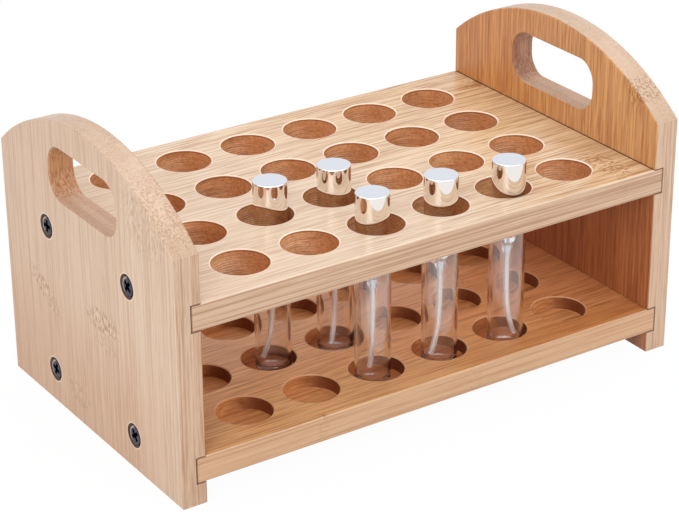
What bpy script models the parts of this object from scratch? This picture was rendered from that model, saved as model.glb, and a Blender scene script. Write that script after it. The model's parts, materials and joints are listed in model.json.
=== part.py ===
"""A bamboo perfume organizer.

Two arched sides with hand slots carry an upper shelf drilled with a grid of holes and a lower
shelf with a shallow seat under each hole. Both shelves lie in grooves across the sides and are
held by countersunk screws. Spray vials of clear glass stand in some of the holes, each with its
collar, pump, dip tube, spray button and pull-off cap.

The long axis is X, the front faces -Y and Z is up. The origin is at the middle of the footprint,
on the surface that the sides stand on. All sizes are in metres.
"""

import math

import bmesh
import bpy
from mathutils import Matrix, Vector

# Grid of holes
COLUMNS = 6
ROWS = 4
HOLE_DIAMETER = 0.025
COLUMN_PITCH = 0.034
ROW_PITCH = 0.035
END_MARGIN = 0.033
FRONT_MARGIN = 0.024
BACK_MARGIN = 0.023
SEAT_DEPTH = 0.0065

# Shelves and sides
SHELF_THICKNESS = 0.012
SHELF_GAP = 0.058
SIDE_THICKNESS = 0.012
GROOVE_DEPTH = 0.005
FOOT_HEIGHT = 0.010
SHOULDER_RISE = 0.022
ARCH_RISE = 0.028
SLOT_LENGTH = 0.059
SLOT_HEIGHT = 0.024
SLOT_CORNER = 0.010
SLOT_RISE = 0.012
EDGE_EASE = 0.0007
WOOD_GAP = 0.0003

# Wood screws
SCREW_HEAD_DIAMETER = 0.0090
SCREW_SHANK_DIAMETER = 0.004
SCREW_LENGTH = 0.034
SCREW_TIP_LENGTH = 0.005
SCREW_SINK = 0.0010
SCREW_RAISE = 0.0006
CROSS_SPAN = 0.0052
CROSS_WIDTH = 0.0011
CROSS_DEPTH = 0.0019
CROSS_FLOOR_SHARE = 0.55
# The places of the front and back screws between their two rows of holes
SCREW_ROW_SHARES = (0.45, 0.5)

# Glass vials
VIAL_DIAMETER = 0.0164
VIAL_WALL = 0.0012
VIAL_FLOOR = 0.0025
VIAL_CORNER = 0.0025
VIAL_BODY_HEIGHT = 0.0668
SHOULDER_WIDTH = 0.0022
NECK_WALL = 0.0012
NECK_HEIGHT = 0.0074
FIT_GAP = 0.0003

# Collar, gasket and cap
GASKET_THICKNESS = 0.0008
COLLAR_WALL = 0.0005
COLLAR_TOP = 0.0008
COLLAR_RIM_HEIGHT = 0.0008
CAP_WALL = 0.0005
CAP_ROOF = 0.0006
CAP_HEADROOM = 0.0011
CAP_EDGE = 0.0003

# Pump
PUMP_FLANGE_THICKNESS = 0.001
BARREL_DIAMETER = 0.0074
BARREL_WALL = 0.001
BARREL_LENGTH = 0.0234
BARREL_FLOOR = 0.0028
BARREL_CONE = 0.002
NOZZLE_DIAMETER = 0.0050
NOZZLE_LENGTH = 0.0021
NOZZLE_TIP = 0.0022
NOZZLE_SOCKET_DEPTH = 0.0047
NOZZLE_LIP = 0.00035
VALVE_BORE = 0.0014
STEM_DIAMETER = 0.0032
STEM_BORE = 0.0012
PISTON_LENGTH = 0.003
PISTON_INSET = 0.0026
SPRING_WIRE = 0.0005
SPRING_TURNS = 5
BUTTON_DIAMETER = 0.0104
BUTTON_HEIGHT = 0.0073
BUTTON_EDGE = 0.0006
BUTTON_DISH = 0.0005
BUTTON_SOCKET_DEPTH = 0.0048
BUTTON_LIFT = 0.0004
ORIFICE_DIAMETER = 0.0012
ORIFICE_DEPTH = 0.0008
SPRAY_TRAVEL = 0.0036

# Dip tube
TUBE_DIAMETER = 0.0025
TUBE_BORE = 0.0012
TUBE_REACH_SHARE = 0.67
TUBE_CURL_POWER = 4

# Facets round each kind of turned piece, the least angle of a sharp edge in degrees, and how far
# a cut runs past a face
HOLE_SIDES = 24
ARCH_STEPS = 28
CORNER_STEPS = 5
VIAL_SIDES = 20
COLLAR_SIDES = 16
PUMP_SIDES = 12
STEM_SIDES = 8
SCREW_SIDES = 16
TUBE_SIDES = 6
TUBE_STEPS = 7
SPRING_STEPS_PER_TURN = 7
SHARP_ANGLE = 35
OVERRUN = 0.002

# Row and column of each vial, counted from the front left
VIAL_PLACES = ((0, 2), (0, 3), (0, 4), (1, 1), (1, 2))
# How far each vial stands off its hole's centre, as shares of the free play
VIAL_SHIFT_SHARES = ((-0.32, 0.26), (-0.08, -0.11), (0.0, -0.94), (0.82, 0.30), (0.37, 0.01))
# The way in which each dip tube leans, in degrees from +X
TUBE_LEANS = (72, 180, 352, 137, 215)

# The rack's main places, worked out from the sizes above
inner_length = 2 * END_MARGIN + (COLUMNS - 1) * COLUMN_PITCH
depth = FRONT_MARGIN + (ROWS - 1) * ROW_PITCH + BACK_MARGIN
side_inner = inner_length / 2
side_outer = side_inner + SIDE_THICKNESS
shelf_end = side_inner + GROOVE_DEPTH - WOOD_GAP
lower_bottom = FOOT_HEIGHT
lower_top = lower_bottom + SHELF_THICKNESS
upper_bottom = lower_top + SHELF_GAP
upper_top = upper_bottom + SHELF_THICKNESS
column_x = [END_MARGIN + i * COLUMN_PITCH - side_inner for i in range(COLUMNS)]
row_y = [FRONT_MARGIN + i * ROW_PITCH - depth / 2 for i in range(ROWS)]
screw_y = [
    row_y[0] + SCREW_ROW_SHARES[0] * ROW_PITCH,
    row_y[-2] + SCREW_ROW_SHARES[1] * ROW_PITCH,
]

# The vial's stack of heights, from the underside of its glass
vial_base = lower_top - SEAT_DEPTH + FIT_GAP
neck_top = VIAL_BODY_HEIGHT + NECK_HEIGHT
collar_base = VIAL_BODY_HEIGHT + FIT_GAP
cap_base = collar_base + COLLAR_RIM_HEIGHT + FIT_GAP
gasket_base = neck_top + FIT_GAP
flange_base = gasket_base + GASKET_THICKNESS + FIT_GAP
collar_roof = flange_base + PUMP_FLANGE_THICKNESS + FIT_GAP
collar_height = collar_roof + COLLAR_TOP - collar_base
button_base = collar_base + collar_height + SPRAY_TRAVEL + BUTTON_LIFT
cap_height = button_base + BUTTON_HEIGHT + CAP_HEADROOM + CAP_ROOF - cap_base
barrel_base = flange_base - BARREL_LENGTH
bore_floor = barrel_base + BARREL_FLOOR
nozzle_tip = barrel_base - BARREL_CONE - NOZZLE_LENGTH - NOZZLE_TIP
piston_top = flange_base - PISTON_INSET
piston_base = piston_top - PISTON_LENGTH
stem_top = button_base + BUTTON_SOCKET_DEPTH - FIT_GAP

# The vial's radii, each from the piece that it fits
vial_radius = VIAL_DIAMETER / 2
bore_radius = vial_radius - VIAL_WALL
neck_radius = vial_radius - SHOULDER_WIDTH
neck_bore_radius = neck_radius - NECK_WALL
collar_bore_radius = neck_radius + FIT_GAP
collar_radius = collar_bore_radius + COLLAR_WALL
cap_bore_radius = collar_radius + FIT_GAP
cap_radius = cap_bore_radius + CAP_WALL
barrel_radius = BARREL_DIAMETER / 2
barrel_bore_radius = barrel_radius - BARREL_WALL
piston_radius = barrel_bore_radius - FIT_GAP
stem_radius = STEM_DIAMETER / 2
tube_radius = TUBE_DIAMETER / 2
nozzle_bore_radius = tube_radius + FIT_GAP


def clear_scene():
    for obj in list(bpy.data.objects):
        bpy.data.objects.remove(obj, do_unlink=True)


def make_material(name, colour, roughness, metallic=0.0, transmission=0.0, alpha=1.0):
    material = bpy.data.materials.new(name)
    material.use_nodes = True
    shader = material.node_tree.nodes["Principled BSDF"]
    shader.inputs["Base Color"].default_value = (*colour, 1.0)
    shader.inputs["Roughness"].default_value = roughness
    shader.inputs["Metallic"].default_value = metallic
    shader.inputs["Transmission Weight"].default_value = transmission
    shader.inputs["Alpha"].default_value = alpha
    material.diffuse_color = (*colour, alpha)
    return material


def add_object(name, mesh, material=None, parent=None, location=(0, 0, 0)):
    obj = bpy.data.objects.new(name, mesh)
    bpy.context.scene.collection.objects.link(obj)
    obj.parent = parent
    obj.location = location
    if material and not mesh.materials:
        mesh.materials.append(material)
    return obj


def finish_mesh(bm, name, smooth=True):
    """Turns a bmesh into a mesh whose faces point out, with its round faces shaded smooth."""
    bmesh.ops.recalc_face_normals(bm, faces=bm.faces)
    mesh = bpy.data.meshes.new(name)
    bm.to_mesh(mesh)
    bm.free()
    if smooth:
        mesh.shade_smooth()
        mesh.set_sharp_from_angle(angle=math.radians(SHARP_ANGLE))
    return mesh


def join_rings(bm, first, second):
    """Faces between two rings of points, either of which may be a single point on the axis."""
    count = max(len(first), len(second))
    for i in range(count):
        corners = []
        for ring, index in ((first, i), (first, i + 1), (second, i + 1), (second, i)):
            vertex = ring[index % len(ring)]
            if vertex not in corners:
                corners.append(vertex)
        bm.faces.new(corners)


def add_turned(bm, profile, sides, matrix=None):
    """Turns a closed profile of (radius, height) points about Z. Radius 0 is a point on the axis."""
    rings = []
    for radius, height in profile:
        turns = range(sides) if radius else range(1)
        points = []
        for i in turns:
            angle = 2 * math.pi * i / sides
            place = Vector((radius * math.cos(angle), radius * math.sin(angle), height))
            points.append(bm.verts.new(matrix @ place if matrix else place))
        rings.append(points)
    for i, ring in enumerate(rings):
        following = rings[(i + 1) % len(rings)]
        if len(ring) > 1 or len(following) > 1:
            join_rings(bm, ring, following)


def turned_mesh(name, profile, sides):
    bm = bmesh.new()
    add_turned(bm, profile, sides)
    return finish_mesh(bm, name)


def add_prism(bm, outline, low, high, axis):
    """A prism with this outline, from low to high along X or Z."""
    ends = []
    for level in (low, high):
        if axis == "X":
            ends.append([bm.verts.new((level, a, b)) for a, b in outline])
        else:
            ends.append([bm.verts.new((a, b, level)) for a, b in outline])
    bm.faces.new(ends[0])
    bm.faces.new(list(reversed(ends[1])))
    join_rings(bm, ends[0], ends[1])


def rectangle(low_a, low_b, high_a, high_b):
    return [(low_a, low_b), (high_a, low_b), (high_a, high_b), (low_a, high_b)]


def add_cut(target, cutter):
    modifier = target.modifiers.new(cutter.name, "BOOLEAN")
    modifier.operation = "DIFFERENCE"
    modifier.object = cutter


def add_cutter(name, bm):
    cutter = add_object(name, finish_mesh(bm, name, smooth=False))
    cutter.hide_render = True
    cutter.display_type = "WIRE"
    return cutter


def bake(obj):
    """Replaces the object's mesh with its evaluated one, so that copies can share it."""
    bpy.context.view_layer.update()
    graph = bpy.context.evaluated_depsgraph_get()
    mesh = bpy.data.meshes.new_from_object(obj.evaluated_get(graph))
    mesh.name = obj.name
    obj.modifiers.clear()
    obj.data = mesh
    return mesh


def across(end):
    """Turns Z to point into the rack from its left (-1) or right (+1) end."""
    return Matrix.Rotation(-end * math.pi / 2, 4, "Y")


def screw_places():
    """The point on each side's outer face where a screw's head is centred, with its name."""
    levels = {
        "lower": lower_bottom + SHELF_THICKNESS / 2 + SCREW_RAISE,
        "upper": upper_bottom + SHELF_THICKNESS / 2 + SCREW_RAISE,
    }
    for side_name, end in (("left", -1), ("right", 1)):
        for level_name, z in levels.items():
            for row_name, y in zip(("front", "back"), screw_y):
                yield f"screw_{side_name}_{level_name}_{row_name}", end, y, z


def add_shelf_blank(bm, bottom, top):
    """A plank from groove to groove, its four long edges eased."""
    outline = rectangle(-depth / 2, bottom, depth / 2, top)
    add_prism(bm, outline, -shelf_end, shelf_end, "X")
    long_edges = [e for e in bm.edges if abs(e.verts[0].co.x - e.verts[1].co.x) > shelf_end]
    bmesh.ops.bevel(
        bm,
        geom=long_edges,
        offset=EDGE_EASE,
        segments=2,
        profile=0.5,
        affect="EDGES",
    )


def pilot_holes(name, level):
    """Blind holes in a shelf's ends for the screws that come through the sides."""
    radius = SCREW_SHANK_DIAMETER / 2 + WOOD_GAP
    reach = side_outer - SCREW_SINK - SCREW_LENGTH - WOOD_GAP
    bm = bmesh.new()
    for screw_name, end, y, z in screw_places():
        if level not in screw_name:
            continue
        start = side_inner - reach
        length = GROOVE_DEPTH + OVERRUN
        profile = [(0, -start), (radius, -start), (radius, length), (0, length)]
        matrix = Matrix.Translation((end * side_inner, y, z)) @ across(-end)
        add_turned(bm, profile, STEM_SIDES, matrix)
    return add_cutter(name, bm)


def hole_grid(name, low, high):
    radius = HOLE_DIAMETER / 2
    bm = bmesh.new()
    for x in column_x:
        for y in row_y:
            profile = [(0, low), (radius, low), (radius, high), (0, high)]
            add_turned(bm, profile, HOLE_SIDES, Matrix.Translation((x, y, 0)))
    return add_cutter(name, bm)


def build_shelf(name, bottom, top, grid, level, material):
    bm = bmesh.new()
    add_shelf_blank(bm, bottom, top)
    shelf = add_object(name, finish_mesh(bm, name), material)
    add_cut(shelf, grid)
    add_cut(shelf, pilot_holes(f"{level}_pilot_holes", level))


def side_outline():
    """The side seen from its end: square feet and shoulders under one arc."""
    half = depth / 2
    shoulder = upper_top + SHOULDER_RISE
    arc_radius = (half**2 + ARCH_RISE**2) / (2 * ARCH_RISE)
    centre = shoulder + ARCH_RISE - arc_radius
    spread = math.asin(half / arc_radius)
    points = [(-half, 0), (half, 0)]
    for i in range(ARCH_STEPS + 1):
        angle = spread - 2 * spread * i / ARCH_STEPS
        points.append((arc_radius * math.sin(angle), centre + arc_radius * math.cos(angle)))
    return points


def slot_outline():
    radius = min(SLOT_CORNER, SLOT_HEIGHT / 2)
    a = SLOT_LENGTH / 2 - radius
    b = SLOT_HEIGHT / 2 - radius
    middle = upper_top + SLOT_RISE + SLOT_HEIGHT / 2
    points = []
    for quarter, (sign_a, sign_b) in enumerate(((1, 1), (-1, 1), (-1, -1), (1, -1))):
        for i in range(CORNER_STEPS + 1):
            angle = math.pi / 2 * (quarter + i / CORNER_STEPS)
            y = sign_a * a + radius * math.cos(angle)
            z = middle + sign_b * b + radius * math.sin(angle)
            points.append((y, z))
    return points


def side_openings(name, end):
    """The hand slot, and the two grooves that the shelves lie in."""
    inside = end * side_inner
    groove_floor = end * (side_inner + GROOVE_DEPTH)
    bm = bmesh.new()
    slot_ends = sorted((inside - end * OVERRUN, end * (side_outer + OVERRUN)))
    add_prism(bm, slot_outline(), *slot_ends, "X")
    for bottom, top in ((lower_bottom, lower_top), (upper_bottom, upper_top)):
        half = depth / 2 + OVERRUN
        outline = rectangle(-half, bottom - WOOD_GAP, half, top + WOOD_GAP)
        add_prism(bm, outline, *sorted((inside - end * OVERRUN, groove_floor)), "X")
    return add_cutter(name, bm)


def side_screw_holes(name, side_end):
    """A countersunk clearance hole for each screw, from the outer face to the groove."""
    shank = SCREW_SHANK_DIAMETER / 2 + WOOD_GAP
    head = SCREW_HEAD_DIAMETER / 2 + WOOD_GAP
    mouth = head + SCREW_SINK
    bm = bmesh.new()
    for _, end, y, z in screw_places():
        if end != side_end:
            continue
        profile = [
            (0, -OVERRUN),
            (mouth, -OVERRUN),
            (mouth, 0),
            (shank, mouth - shank),
            (shank, SIDE_THICKNESS + OVERRUN),
            (0, SIDE_THICKNESS + OVERRUN),
        ]
        matrix = Matrix.Translation((end * side_outer, y, z)) @ across(end)
        add_turned(bm, profile, SCREW_SIDES, matrix)
    return add_cutter(name, bm)


def build_side(name, end, material):
    bm = bmesh.new()
    add_prism(bm, side_outline(), *sorted((end * side_inner, end * side_outer)), "X")
    bmesh.ops.recalc_face_normals(bm, faces=bm.faces)
    rims = [e for e in bm.edges if e.calc_face_angle(0) > math.radians(SHARP_ANGLE)]
    bmesh.ops.bevel(bm, geom=rims, offset=EDGE_EASE, segments=1, profile=0.5, affect="EDGES")
    side = add_object(name, finish_mesh(bm, name), material)
    add_cut(side, side_openings(f"{name}_openings", end))
    add_cut(side, side_screw_holes(f"{name}_screw_holes", end))


def screw_mesh():
    """A countersunk wood screw, its head's face at height 0 and its point towards +Z."""
    head = SCREW_HEAD_DIAMETER / 2
    shank = SCREW_SHANK_DIAMETER / 2
    profile = [
        (0, 0),
        (head, 0),
        (shank, head - shank),
        (shank, SCREW_LENGTH - SCREW_TIP_LENGTH),
        (0, SCREW_LENGTH),
    ]
    blank = add_object("screw_blank", turned_mesh("screw_blank", profile, SCREW_SIDES))
    a = CROSS_SPAN / 2
    b = CROSS_WIDTH / 2
    quarter = [(a, -b), (a, b), (b, b)]
    outline = []
    for turn in range(4):
        for x, y in quarter:
            point = Matrix.Rotation(turn * math.pi / 2, 2) @ Vector((x, y))
            outline.append((point.x, point.y))
    bm = bmesh.new()
    add_prism(bm, outline, -OVERRUN, CROSS_DEPTH, "Z")
    for vertex in bm.verts:
        if vertex.co.z > 0:
            vertex.co.x *= CROSS_FLOOR_SHARE
            vertex.co.y *= CROSS_FLOOR_SHARE
    cutter = add_cutter("screw_cross", bm)
    add_cut(blank, cutter)
    mesh = bake(blank)
    bpy.data.objects.remove(blank)
    bpy.data.objects.remove(cutter)
    return mesh


def build_screws(material):
    mesh = screw_mesh()
    mesh.materials.clear()
    for name, end, y, z in screw_places():
        location = (end * (side_outer - SCREW_SINK), y, z)
        screw = add_object(name, mesh, material, location=location)
        screw.rotation_euler = across(end).to_euler()


def corner(radius, height, size, inside=False):
    """Three points round a turned piece's bottom corner, with its flat part's end first."""
    dip = size * (1 - math.sqrt(0.5))
    points = [(radius - size, height), (radius - dip, height + dip), (radius, height + size)]
    return list(reversed(points)) if inside else points


def glass_profile():
    slope_start = VIAL_BODY_HEIGHT - SHOULDER_WIDTH
    return [
        (0, 0),
        *corner(vial_radius, 0, VIAL_CORNER),
        (vial_radius, slope_start),
        (neck_radius, VIAL_BODY_HEIGHT),
        (neck_radius, neck_top),
        (neck_bore_radius, neck_top),
        (neck_bore_radius, VIAL_BODY_HEIGHT - VIAL_WALL / 2),
        (bore_radius, slope_start - VIAL_WALL / 2),
        *corner(bore_radius, VIAL_FLOOR, VIAL_CORNER, inside=True),
        (0, VIAL_FLOOR),
    ]


def collar_profile():
    top = collar_height
    return [
        (cap_radius, 0),
        (cap_radius, COLLAR_RIM_HEIGHT),
        (collar_radius, COLLAR_RIM_HEIGHT),
        (collar_radius, top),
        (stem_radius + FIT_GAP, top),
        (stem_radius + FIT_GAP, top - COLLAR_TOP),
        (collar_bore_radius, top - COLLAR_TOP),
        (collar_bore_radius, 0),
    ]


def cap_profile():
    return [
        (0, cap_height),
        (cap_radius - CAP_EDGE, cap_height),
        (cap_radius, cap_height - CAP_EDGE),
        (cap_radius, 0),
        (cap_bore_radius, 0),
        (cap_bore_radius, cap_height - CAP_ROOF),
        (0, cap_height - CAP_ROOF),
    ]


def gasket_profile():
    inner = barrel_radius + FIT_GAP
    return [
        (neck_radius, 0),
        (neck_radius, GASKET_THICKNESS),
        (inner, GASKET_THICKNESS),
        (inner, 0),
    ]


def pump_profile():
    """Heights are from the flange's underside, which rests on the gasket."""
    top = PUMP_FLANGE_THICKNESS
    cone = -BARREL_LENGTH - BARREL_CONE
    taper = cone - NOZZLE_LENGTH
    tip = taper - NOZZLE_TIP
    floor = BARREL_FLOOR - BARREL_LENGTH
    return [
        (neck_radius, 0),
        (neck_radius, top),
        (barrel_bore_radius, top),
        (barrel_bore_radius, floor),
        (VALVE_BORE / 2, floor),
        (VALVE_BORE / 2, tip + NOZZLE_SOCKET_DEPTH),
        (nozzle_bore_radius, tip + NOZZLE_SOCKET_DEPTH),
        (nozzle_bore_radius, tip),
        (nozzle_bore_radius + NOZZLE_LIP, tip),
        (NOZZLE_DIAMETER / 2, taper),
        (NOZZLE_DIAMETER / 2, cone),
        (barrel_radius, -BARREL_LENGTH),
        (barrel_radius, 0),
    ]


def stem_profile():
    """Heights are from the piston's underside."""
    length = stem_top - piston_base
    return [
        (piston_radius, 0),
        (piston_radius, PISTON_LENGTH),
        (stem_radius, PISTON_LENGTH),
        (stem_radius, length),
        (STEM_BORE / 2, length),
        (STEM_BORE / 2, 0),
    ]


def button_mesh():
    """The spray button: a dished top, a socket for the stem and an orifice in its front."""
    radius = BUTTON_DIAMETER / 2
    socket = stem_radius + FIT_GAP
    profile = [
        (0, BUTTON_HEIGHT - BUTTON_DISH),
        (radius - BUTTON_EDGE, BUTTON_HEIGHT),
        (radius, BUTTON_HEIGHT - BUTTON_EDGE),
        (radius, 0),
        (socket, 0),
        (socket, BUTTON_SOCKET_DEPTH),
        (0, BUTTON_SOCKET_DEPTH),
    ]
    blank = add_object("button_blank", turned_mesh("button_blank", profile, COLLAR_SIDES))
    bm = bmesh.new()
    start = radius - ORIFICE_DEPTH
    hole = ORIFICE_DIAMETER / 2
    ends = [(0, start), (hole, start), (hole, radius + OVERRUN), (0, radius + OVERRUN)]
    matrix = Matrix.Translation((0, 0, BUTTON_HEIGHT / 2)) @ Matrix.Rotation(math.pi / 2, 4, "X")
    add_turned(bm, ends, STEM_SIDES, matrix)
    cutter = add_cutter("button_orifice", bm)
    add_cut(blank, cutter)
    mesh = bake(blank)
    bpy.data.objects.remove(blank)
    bpy.data.objects.remove(cutter)
    mesh.materials.clear()
    return mesh


def spring_curve():
    """The return spring: a coil from the barrel's floor to the piston."""
    radius = barrel_bore_radius - FIT_GAP - SPRING_WIRE / 2
    low = FIT_GAP + SPRING_WIRE / 2
    high = piston_base - bore_floor - FIT_GAP - SPRING_WIRE / 2
    steps = SPRING_TURNS * SPRING_STEPS_PER_TURN
    curve = bpy.data.curves.new("spring", "CURVE")
    curve.dimensions = "3D"
    curve.bevel_depth = SPRING_WIRE / 2
    curve.bevel_resolution = 0
    curve.use_fill_caps = True
    spline = curve.splines.new("POLY")
    spline.points.add(steps)
    for i, point in enumerate(spline.points):
        angle = 2 * math.pi * i / SPRING_STEPS_PER_TURN
        height = low + (high - low) * i / steps
        point.co = (radius * math.cos(angle), radius * math.sin(angle), height, 1)
    return curve


def dip_tube_mesh():
    """A hollow tube from the nozzle's socket, curling towards +X near the vial's floor.

    Heights are from the nozzle's tip.
    """
    top = NOZZLE_SOCKET_DEPTH - FIT_GAP
    foot = VIAL_FLOOR + FIT_GAP + tube_radius - nozzle_tip
    reach = TUBE_REACH_SHARE * bore_radius
    path = [Vector((0, 0, top))]
    for i in range(TUBE_STEPS + 1):
        share = i / TUBE_STEPS
        path.append(Vector((reach * share**TUBE_CURL_POWER, 0, foot * share)))
    bm = bmesh.new()
    outer = []
    inner = []
    for i, point in enumerate(path):
        before = path[max(i - 1, 0)]
        after = path[min(i + 1, len(path) - 1)]
        along = (after - before).normalized()
        side = Vector((0, 1, 0)).cross(along)
        for radius, rings in ((tube_radius, outer), (TUBE_BORE / 2, inner)):
            ring = []
            for k in range(TUBE_SIDES):
                angle = 2 * math.pi * k / TUBE_SIDES
                offset = side * math.cos(angle) + Vector((0, 1, 0)) * math.sin(angle)
                ring.append(bm.verts.new(point + radius * offset))
            rings.append(ring)
    for rings in (outer, inner):
        for first, second in zip(rings, rings[1:]):
            join_rings(bm, first, second)
    join_rings(bm, outer[0], inner[0])
    join_rings(bm, outer[-1], inner[-1])
    return finish_mesh(bm, "dip_tube")


def vial_meshes():
    """Each piece of a vial: its mesh or curve, and its height above the vial's underside."""
    return {
        "glass_vial": (turned_mesh("glass_vial", glass_profile(), VIAL_SIDES), 0),
        "collar": (turned_mesh("collar", collar_profile(), COLLAR_SIDES), collar_base),
        "neck_gasket": (turned_mesh("neck_gasket", gasket_profile(), PUMP_SIDES), gasket_base),
        "pump_body": (turned_mesh("pump_body", pump_profile(), PUMP_SIDES), flange_base),
        "pump_stem": (turned_mesh("pump_stem", stem_profile(), STEM_SIDES), piston_base),
        "pump_spring": (spring_curve(), bore_floor),
        "dip_tube": (dip_tube_mesh(), nozzle_tip),
        "spray_button": (button_mesh(), button_base),
        "cap": (turned_mesh("cap", cap_profile(), VIAL_SIDES), cap_base),
    }


def build_vials(materials):
    play = (HOLE_DIAMETER - VIAL_DIAMETER) / 2 - FIT_GAP
    pieces = vial_meshes()
    rows = zip(VIAL_PLACES, VIAL_SHIFT_SHARES, TUBE_LEANS)
    for number, ((row, column), (share_x, share_y), lean) in enumerate(rows, 1):
        axis = bpy.data.objects.new(f"vial_axis_{number}", None)
        bpy.context.scene.collection.objects.link(axis)
        axis.location = (
            column_x[column] + share_x * play,
            row_y[row] + share_y * play,
            vial_base,
        )
        for piece, (mesh, height) in pieces.items():
            name = f"{piece}_{number}"
            obj = add_object(name, mesh, materials[piece], axis, (0, 0, height))
            if piece == "dip_tube":
                obj.rotation_euler.z = math.radians(lean)


def main():
    clear_scene()
    shelf_wood = make_material("shelf_bamboo", (0.74, 0.53, 0.33), 0.5)
    lower_wood = make_material("lower_shelf_bamboo", (0.62, 0.38, 0.20), 0.5)
    side_wood = make_material("side_bamboo", (0.70, 0.51, 0.35), 0.5)
    screw_steel = make_material("black_screw_steel", (0.05, 0.05, 0.055), 0.35, metallic=1.0)
    glass = make_material("clear_glass", (0.95, 0.96, 0.96), 0.03, transmission=1.0, alpha=0.4)
    silver = make_material("polished_aluminium", (0.90, 0.90, 0.91), 0.08, metallic=1.0)
    white_plastic = make_material("white_plastic", (0.88, 0.88, 0.87), 0.35)
    frosted_plastic = make_material("frosted_plastic", (0.85, 0.87, 0.88), 0.3, alpha=0.7)
    rubber = make_material("gasket_rubber", (0.75, 0.75, 0.74), 0.6)
    spring_steel = make_material("spring_steel", (0.65, 0.65, 0.66), 0.25, metallic=1.0)

    upper_grid = hole_grid("upper_holes", upper_bottom - OVERRUN, upper_top + OVERRUN)
    lower_grid = hole_grid("lower_seats", lower_top - SEAT_DEPTH, lower_top + OVERRUN)
    build_shelf("upper_shelf", upper_bottom, upper_top, upper_grid, "upper", shelf_wood)
    build_shelf("lower_shelf", lower_bottom, lower_top, lower_grid, "lower", lower_wood)
    build_side("left_side", -1, side_wood)
    build_side("right_side", 1, side_wood)
    build_screws(screw_steel)
    build_vials(
        {
            "glass_vial": glass,
            "collar": silver,
            "neck_gasket": rubber,
            "pump_body": frosted_plastic,
            "pump_stem": white_plastic,
            "pump_spring": spring_steel,
            "dip_tube": frosted_plastic,
            "spray_button": white_plastic,
            "cap": silver,
        }
    )


main()
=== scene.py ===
"""The looks of a bamboo perfume organizer with five glass spray vials in it.

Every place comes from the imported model's nodes and from the sizes below, in metres.
"""

import json
import math

import bmesh
import bpy
from mathutils import Matrix, Vector


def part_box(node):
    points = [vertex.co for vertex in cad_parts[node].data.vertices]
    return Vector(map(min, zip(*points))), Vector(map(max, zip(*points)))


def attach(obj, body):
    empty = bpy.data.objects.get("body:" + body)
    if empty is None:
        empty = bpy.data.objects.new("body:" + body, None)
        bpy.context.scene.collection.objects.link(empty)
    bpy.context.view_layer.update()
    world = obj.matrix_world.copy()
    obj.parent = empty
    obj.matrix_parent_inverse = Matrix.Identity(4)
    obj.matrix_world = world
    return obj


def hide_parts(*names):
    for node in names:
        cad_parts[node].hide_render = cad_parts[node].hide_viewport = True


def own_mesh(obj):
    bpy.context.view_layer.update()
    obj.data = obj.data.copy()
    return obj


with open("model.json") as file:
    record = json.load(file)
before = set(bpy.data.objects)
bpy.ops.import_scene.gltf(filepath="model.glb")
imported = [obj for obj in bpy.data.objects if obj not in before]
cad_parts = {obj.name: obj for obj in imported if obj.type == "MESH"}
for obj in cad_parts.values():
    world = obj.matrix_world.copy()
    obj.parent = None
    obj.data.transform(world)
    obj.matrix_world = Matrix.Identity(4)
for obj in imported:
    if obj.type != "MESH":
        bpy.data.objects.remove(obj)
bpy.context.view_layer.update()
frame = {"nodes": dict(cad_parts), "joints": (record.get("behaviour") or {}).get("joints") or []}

# The camera, solved from the photograph's hole rims and board edges
CAMERA_PLACE = (-0.52640, -0.79571, 0.50671)
CAMERA_AZIMUTH = 33.403
CAMERA_ELEVATION = 25.517
CAMERA_ROLL = -0.396
CAMERA_LENS = 123.11
CAMERA_SENSOR = 36
CAMERA_NEAR = 0.01

# The rack's own sizes that a node's box doesn't give
COLUMNS = 6
ROWS = 4
HOLE_DIAMETER = 0.025
COLUMN_PITCH = 0.034
ROW_PITCH = 0.035
FRONT_MARGIN = 0.024
SEAT_DEPTH = 0.0065
SIDE_THICKNESS = 0.012
GROOVE_DEPTH = 0.005
ARCH_RISE = 0.028
SLOT_LENGTH = 0.059
SLOT_HEIGHT = 0.024
SLOT_CORNER = 0.010
SLOT_RISE = 0.012
WOOD_GAP = 0.0003
EDGE_EASE = 0.0007
RIM_EASE = 0.0004
SEAT_FILLET = 0.0004
OVERRUN = 0.002

# Screws
SCREW_CROSS_SPAN = 0.0058
SCREW_CROSS_WIDTH = 0.0018
SCREW_CROSS_DEPTH = 0.0022
SCREW_CROSS_FLOOR_SHARE = 0.5
SCREW_SHANK_DIAMETER = 0.004
SCREW_SINK = 0.0003
SCREW_HEAD_GROWTH = 0.0006
SCREW_EDGE = 0.0005
# The bright arc painted on each screw head as a highlight
SCREW_ARC_RADIUS = 0.0041
SCREW_ARC_WIDTH = 0.0009
SCREW_ARC_FADE = (0.0004, 0.0026)
COUNTERSINK_CLEARANCE = 0.0002

# Vials
FIT_GAP = 0.0003
VIAL_WALL = 0.0012
VIAL_FLOOR = 0.0025
VIAL_CORNER = 0.0028
VIAL_PUNT = 0.0005
VIAL_BODY_HEIGHT = 0.0668
VIAL_SHOULDER = 0.0022
NECK_WALL = 0.0012
CAP_WALL = 0.0005
CAP_ROOF = 0.0006
CAP_EDGE = 0.00035
CAP_TILT = 0.079
CAP_TOP_LEAN = (-0.043, -0.066)
COLLAR_RIM = 0.0008
COLLAR_WALL = 0.0005
COLLAR_TOP = 0.0008
STEM_DIAMETER = 0.0032
STEM_BORE = 0.0012
BARREL_DIAMETER = 0.0074
BARREL_WALL = 0.001
BARREL_LENGTH = 0.0234
BARREL_FLOOR = 0.0028
BARREL_CONE = 0.002
PUMP_FLANGE = 0.001
NOZZLE_DIAMETER = 0.0050
NOZZLE_TIP = 0.0022
NOZZLE_SOCKET = 0.0047
NOZZLE_LIP = 0.00035
VALVE_BORE = 0.0014
PISTON_LENGTH = 0.003
PISTON_DIAMETER = 0.0048
BUTTON_SOCKET = 0.0048
BUTTON_DISH = 0.0006
BUTTON_EDGE = 0.0007
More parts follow.
